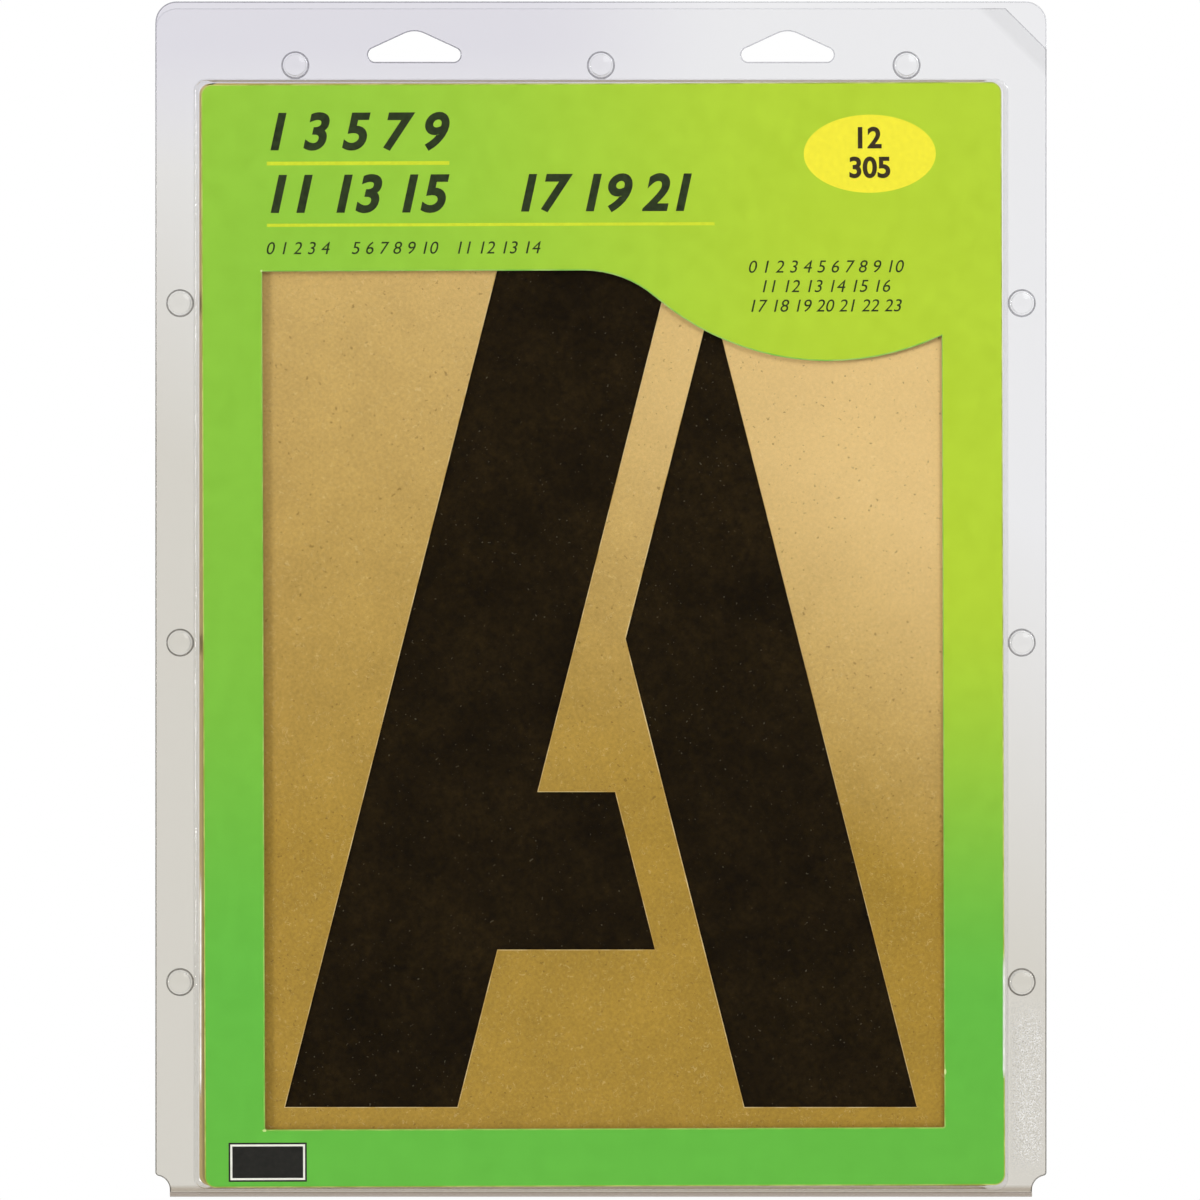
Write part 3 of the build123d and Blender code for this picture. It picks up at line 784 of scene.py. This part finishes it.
def foot_rings(name, places, steps=48, arc_steps=6):
    """A hollow quarter circle and the corner behind it, as radius and depth, turned about each button."""
    angle = np.linspace(0, math.pi / 2, arc_steps)
    radius = np.append(button_radius - sunk + (foot_curve + sunk) * (1 - np.sin(angle)), button_radius - sunk)
    depth = np.append(rim_face + sunk - (foot_curve + sunk) * (1 - np.cos(angle)), rim_face + sunk)
    around = np.linspace(0, 2 * math.pi, steps, endpoint=False)
    centre = np.array(places)
    x = centre[:, 0, None, None] + np.cos(around)[None, :, None] * radius
    z = centre[:, 1, None, None] + np.sin(around)[None, :, None] * radius
    points = np.stack([x, np.broadcast_to(depth, x.shape), z], axis=-1)
    index = np.arange(x.size).reshape(x.shape)
    beside = np.roll(index, -1, axis=1)
    after = np.roll(index, -1, axis=2)
    quads = np.stack([index, beside, np.roll(beside, -1, axis=2), after], axis=-1)
    mesh = bpy.data.meshes.new(name)
    mesh.from_pydata(points.reshape(-1, 3).tolist(), [], quads.reshape(-1, 4).tolist())
    mesh.shade_smooth()
    return mesh


drawn_film = clear_film("PET drawn thin at the buttons", cover_ior, 0.12, upper="#DADADC", lower="#CAC8C5",
                        fold="#CAC8C5", steep="#98989C")
rings = show(foot_rings("button_feet", button_places), drawn_film, "cover")
print("rings:", len(button_places), "faces:", len(rings.data.polygons))

# %% [markdown]
# ## Domed tops of the buttons
#
# The front of each button is slightly domed, so somewhere on it the sheet is turned just so that it mirrors
# the upper lamp, and a small bright spot shows. The dome is a disc, like the oval, raised in its middle.

# %% Domed tops
button_front = -2.7 * mm
dome_radius = 3.5 * mm
dome_rise = 0.7 * mm


def domed_top(name, x, z):
    """A disc raised as a parabola: by the rise times one less the radius squared."""
    right, lower = disc_grid(17)
    depth = button_front - dome_rise * (1 - right**2 - lower**2)
    mesh = patch_mesh(name, np.stack([x + dome_radius * right, depth, z - dome_radius * lower], axis=-1))
    mesh.shade_smooth()
    return mesh


for number, (x, z) in enumerate(button_places, 1):
    show(domed_top(f"domed_top_{number}", x, z), cover_film, "cover")
print("domed tops:", len(button_places))

# %% [markdown]
# ## Scuffed rim
#
# The rim at the lower right has been rubbed in handling, and its scratches catch the light as bright grains.
# They are a thin patch just above the sheet that is clear between the grains. Two noises place the grains,
# pale ones that scatter light and grey ones that hold it back, and the patch's own two coordinates fade them
# towards its border. Real scratches are finer than these: they are drawn about 0.4 mm wide so that they show.

# %% Scuffed patch
scuff_lift = 0.03 * mm
scuff_left, scuff_right = 131.8 * mm, 143.6 * mm
scuff_low, scuff_high = -369.2 * mm, -311 * mm


def upright_patch(name, left, right, low, high, depth):
    """An upright grid at one depth, rows from the top down, with its own place across and up as UV."""
    up, along = np.meshgrid(np.linspace(1, 0, 9), np.linspace(0, 1, 5), indexing="ij")
    x = left + (right - left) * along
    z = low + (high - low) * up
    mesh = patch_mesh(name, np.stack([x, np.full_like(x, depth), z], axis=-1))
    corner = np.empty(len(mesh.loops), int)
    mesh.loops.foreach_get("vertex_index", corner)
    places = np.stack([along.ravel()[corner], up.ravel()[corner]], axis=-1)
    mesh.uv_layers.new(name="place").data.foreach_set("uv", places.ravel())
    print(name, "has", len(mesh.polygons), "faces")
    return mesh


scuffs = upright_patch("scuffed_rim", scuff_left, scuff_right, scuff_low, scuff_high, rim_face - scuff_lift)

# %% Scuffed PET
pale_grain = (0.40 * mm, 0.55)
grey_grain = (0.45 * mm, 0.5)


def fade_out(tree, left, right, low, high):
    """A share of 1 within a patch that falls to 0 at its sides, over these parts of its width and height."""
    axes = add(tree, "SeparateXYZ", {0: add(tree, "TexCoord").outputs["UV"]})
    share = add(tree, "MapRange", {0: axes.outputs[0], 1: 0.0, 2: left}).outputs[0]
    for axis, side, full in ((0, 1.0, 1 - right), (1, 0.0, low), (1, 1.0, 1 - high)):
        ramp = add(tree, "MapRange", {0: axes.outputs[axis], 1: side, 2: full}).outputs[0]
        share = add(tree, "Math", {0: share, 1: ramp}, operation="MULTIPLY").outputs[0]
    return share


def scuffed_film():
    """Clear between pale and grey grains, which thin out towards the patch's border."""
    material, tree = new_material("scuffed PET")
    place = add(tree, "TexCoord").outputs["Object"]
    fade = fade_out(tree, 0.12, 0.2, 0.15, 0.2)
    shares = []
    for size, most in (pale_grain, grey_grain):
        grain = add(tree, "TexNoise", {"Vector": place, "Scale": 1 / size, "Detail": 1.0}).outputs[0]
        level = add(tree, "MapRange", {0: grain, 1: 0.50, 2: 0.64, 3: 0.0, 4: most}).outputs[0]
        shares.append(add(tree, "Math", {0: level, 1: fade}, operation="MULTIPLY").outputs[0])
    pale, grey = shares
    dulled = add(tree, "Mix", {0: grey, 6: linear("#FFFFFF"), 7: linear("#C9C7C4")},
                 data_type="RGBA").outputs[2]
    through = add(tree, "BsdfTransparent", {"Color": dulled}).outputs[0]
    scratch = add(tree, "BsdfDiffuse", {"Color": linear("#F4F4F4")}).outputs[0]
    mixed = add(tree, "MixShader", {0: pale, 1: through, 2: scratch}).outputs[0]
    add(tree, "OutputMaterial", {"Surface": mixed})
    return material


scuffed = scuffed_film()
show(scuffs, scuffed, "cover")
print(scuffs.name, "in", scuffed.name)

# %% [markdown]
# ## Painted glints
#
# Low on both sides, the rounded edge of the cover's panel catches a lamp in a thin white glint, and that
# glint is painted. Each is a narrow strip on the inside of the panel beside that edge, white along its middle
# and clear at its border.

# %% Painted glints
glint_breaks_size = 7 * mm
glint_strip_gap = 0.01 * mm


def painted_glint_film():
    """A painted glint: full white along the strip's middle, and uneven down its length."""
    material, tree = new_material("PET with painted glints")
    place = add(tree, "TexCoord").outputs["Object"]
    fade = fade_out(tree, 0.35, 0.35, 0.08, 0.15)
    glint_breaks = add(tree, "TexNoise", {"Vector": place, "Scale": 1 / glint_breaks_size, "Detail": 3.0}).outputs[0]
    level = add(tree, "MapRange", {0: glint_breaks, 1: 0.3, 2: 0.6, 3: 0.6, 4: 1.0}).outputs[0]
    share = add(tree, "Math", {0: level, 1: fade}, operation="MULTIPLY").outputs[0]
    through = add(tree, "BsdfTransparent", {"Color": linear("#FFFFFF")}).outputs[0]
    # A white diffuse shader paints the glint.
    painted_white = add(tree, "BsdfDiffuse", {"Color": linear("#FFFFFF")}).outputs[0]
    mixed = add(tree, "MixShader", {0: share, 1: through, 2: painted_white}).outputs[0]
    add(tree, "OutputMaterial", {"Surface": mixed})
    return material


glint_strip_film = painted_glint_film()
panel_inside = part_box("front_cover")[0].y + sheet + glint_strip_gap
glint_strips = (("left_glint_strip", -129.45, -128.65, -345, -270), ("right_glint_strip", 129.4, 130.4, -338, -297))
for name, *sides in glint_strips:
    glint_strip = upright_patch(name, *(side * mm for side in sides), panel_inside)
    show(glint_strip, glint_strip_film, "cover")

# %% [markdown]
# ## Background
#
# The photograph has a plain white ground. The world gives it to the camera, and to rays that have passed
# through the film. Mirrored rays find that white straight behind the pack, a grey room to the sides, and
# darkness where the camera stands, which is why black paper stays black under a glossy cover and the walls
# of the buttons look grey. All other rays find a dim room, which fills the shadows.

# %% World
dim_room = 0.36
grey_room = 0.68
camera_side = 0.06


def ray_kinds(tree):
    """Two shares of 0 or 1: whether a ray is mirrored, and if it is the camera's or came through film."""
    path = add(tree, "LightPath").outputs
    seen = add(tree, "Math", {0: path["Is Camera Ray"], 1: path["Is Transmission Ray"]}, operation="MAXIMUM")
    return path["Is Glossy Ray"], seen.outputs[0]


world = bpy.data.worlds.new("white studio")
bpy.context.scene.world = world
world.use_nodes = True
tree = world.node_tree
tree.nodes.clear()
mirrored, seen = ray_kinds(tree)
direction = add(tree, "SeparateXYZ", {0: add(tree, "TexCoord").outputs["Generated"]}).outputs[1]
rear = add(tree, "MapRange", {0: direction, 1: 0.88, 2: 0.955, 3: grey_room, 4: 1.0}).outputs[0]
front = add(tree, "MapRange", {0: direction, 1: -0.97, 2: -0.80, 3: camera_side, 4: 1.0}).outputs[0]
room = add(tree, "Math", {0: rear, 1: front}, operation="MULTIPLY").outputs[0]
unseen = add(tree, "Mix", {0: mirrored, 2: dim_room, 3: room}).outputs[0]
strength = add(tree, "Mix", {0: seen, 2: unseen, 3: 1.0}).outputs[0]
ground = add(tree, "Background", {"Color": linear("#FFFFFF"), "Strength": strength}).outputs[0]
add(tree, "OutputWorld", {"Surface": ground})
print("made", world.name)

# %% [markdown]
# ## Lamps
#
# The main lamp stands far to the left, so that the card's window throws a shadow on the board behind it. A
# weaker one stands above the camera, to its right. A third stands behind the pack, to its right, and lights
# that side and the back. All three are out of the flat film's mirror.

# %% Lamps
def soft_lamp(name, place, target, size, power):
    """A square lamp that faces a target."""
    lamp = bpy.data.lights.new(name, "AREA")
    lamp.shape = "SQUARE"
    lamp.size = size
    lamp.energy = power
    holder = bpy.data.objects.new(name, lamp)
    holder.location = place
    aim = np.array(target) - np.array(place)
    holder.rotation_euler = (math.atan2(math.hypot(aim[0], aim[1]), -aim[2]), 0, math.atan2(-aim[0], aim[1]))
    bpy.context.scene.collection.objects.link(holder)


pack_middle = (0.0, 0.0, -0.183)
soft_lamp("upper lamp", (1.0, -2.0, 1.2), pack_middle, 1.2, 23)
soft_lamp("left lamp", (-4.0, -2.3, 0.1), pack_middle, 1.2, 128)
soft_lamp("rear lamp", (2.4, 2.0, 1.3), pack_middle, 1.4, 85)
print("lamps:", [lamp.name for lamp in bpy.data.lights])

# %% [markdown]
# ## Floor
#
# The pack hangs, and its cover swings down when it opens, so the floor is well below. Near the pack it is
# matt white and takes its shadow. Further out, where the lamps don't reach, it runs into the white of the
# background.

# %% Floor
floor_half = 3.0
floor_z = -0.80
fade_near, fade_far = 0.5, 1.5

floor_paint, tree = new_material("matt white floor")
level = add(tree, "VectorMath", {0: add(tree, "TexCoord").outputs["Object"], 1: (1.0, 1.0, 0.0)},
            operation="MULTIPLY").outputs[0]
away = add(tree, "VectorMath", {0: level}, operation="LENGTH").outputs["Value"]
far = add(tree, "MapRange", {0: away, 1: fade_near, 2: fade_far}, interpolation_type="SMOOTHSTEP").outputs[0]
mirrored, seen = ray_kinds(tree)
shown = add(tree, "Math", {0: seen, 1: mirrored}, operation="MAXIMUM").outputs[0]
white = add(tree, "Math", {0: far, 1: shown}, operation="MULTIPLY").outputs[0]
matt = add(tree, "BsdfDiffuse", {"Color": linear("#F6F6F6")}).outputs[0]
glow = add(tree, "Emission", {"Color": linear("#FFFFFF"), "Strength": 1.0}).outputs[0]
shader = add(tree, "MixShader", {0: white, 1: matt, 2: glow}).outputs[0]
add(tree, "OutputMaterial", {"Surface": shader})

y, x = np.meshgrid([floor_half, -floor_half], [-floor_half, floor_half], indexing="ij")
corners = np.stack([x, y, np.full_like(x, floor_z)], axis=-1)
floor = bpy.data.objects.new("floor", patch_mesh("floor", corners))
floor.data.materials.append(floor_paint)
bpy.context.scene.collection.objects.link(floor)
print("floor at", round(floor_z / mm), "mm")

# %% [markdown]
# ## Camera
#
# The photograph is straight on, with hardly any perspective, so the camera stands 3 m away with a long lens.
# Its frame is 386.8 mm wide at the card, which is what 1200 pixels are at 3.102 pixels to the millimetre.

# %% Camera and view
camera = bpy.data.objects.new("camera", bpy.data.cameras.new("camera"))
bpy.context.scene.collection.objects.link(camera)
distance = 3.0
frame_width = 386.8 * mm
frame_x, frame_z = -0.3 * mm, -183.5 * mm
sensor = 36
camera.location = (frame_x, card_low.y - distance, frame_z)
camera.rotation_euler = (math.pi / 2, 0, 0)
camera.data.sensor_width = sensor
camera.data.lens = sensor * distance / frame_width
bpy.context.scene.camera = camera
bpy.context.scene.view_settings.view_transform = "Standard"
print("lens:", round(camera.data.lens, 1), "mm")
